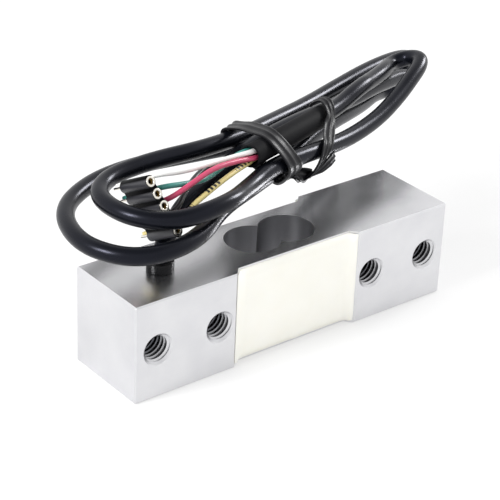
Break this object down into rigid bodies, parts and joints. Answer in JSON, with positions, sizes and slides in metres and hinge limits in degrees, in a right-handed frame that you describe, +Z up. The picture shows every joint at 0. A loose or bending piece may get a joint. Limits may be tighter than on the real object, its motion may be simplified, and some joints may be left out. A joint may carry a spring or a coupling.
{
  "type": "weighing load cell",
  "caption": "Rectangular aluminium weighing beam with tapped cross holes, overlapping vertical bores and silicone over its gauges, and a tied cable that ends in a small socket strip.",
  "frame": {"origin": "middle of the beam's underside", "axes": "+X along the beam, away from its cable end; +Y from the pictured side face to the opposite one; +Z up"},
  "size_m": [0.1182, 0.0563, 0.0402],
  "materials": {
    "machined_aluminium": "satin, milled and finely blasted",
    "gauge_film": "amber film",
    "terminal_laminate": "bare laminate",
    "lead_metal": "tinned",
    "core_insulation": "smooth",
    "silicone": "soft satin",
    "grommet_rubber": "satin",
    "cable_pvc": "smooth",
    "shrink_tube": "matte",
    "wire_white": "smooth",
    "wire_green": "smooth",
    "wire_red": "smooth",
    "wire_black": "smooth",
    "wire_yellow": "smooth",
    "socket_plastic": "matte",
    "contact_metal": "bright plated",
    "clip_metal": "gilt",
    "strap_plastic": "satin"
  },
  "bodies": {
    "root": {"beam_body": "machined_aluminium", "gauge_front_left": "gauge_film", "gauge_front_right": "gauge_film", "terminal_front": "terminal_laminate", "lead_front_left": "lead_metal", "lead_front_right": "lead_metal", "cores_front": "core_insulation", "potting_front": "silicone", "gauge_rear_left": "gauge_film", "gauge_rear_right": "gauge_film", "terminal_rear": "terminal_laminate", "lead_rear_left": "lead_metal", "lead_rear_right": "lead_metal", "cores_rear": "core_insulation", "potting_rear": "silicone", "cable_grommet": "grommet_rubber", "signal_cable": "cable_pvc", "cable_sleeve": "shrink_tube", "wire_white": "wire_white", "wire_green": "wire_green", "wire_red": "wire_red", "wire_black": "wire_black", "wire_yellow": "wire_yellow", "socket_housing": "socket_plastic", "socket_contact_1": "contact_metal", "socket_contact_2": "contact_metal", "socket_contact_3": "contact_metal", "socket_contact_4": "contact_metal", "socket_contact_5": "contact_metal", "contact_clip_1": "clip_metal", "contact_clip_2": "clip_metal", "contact_clip_3": "clip_metal", "contact_clip_4": "clip_metal", "contact_clip_5": "clip_metal", "twist_tie": "strap_plastic"}
  },
  "joints": []
}
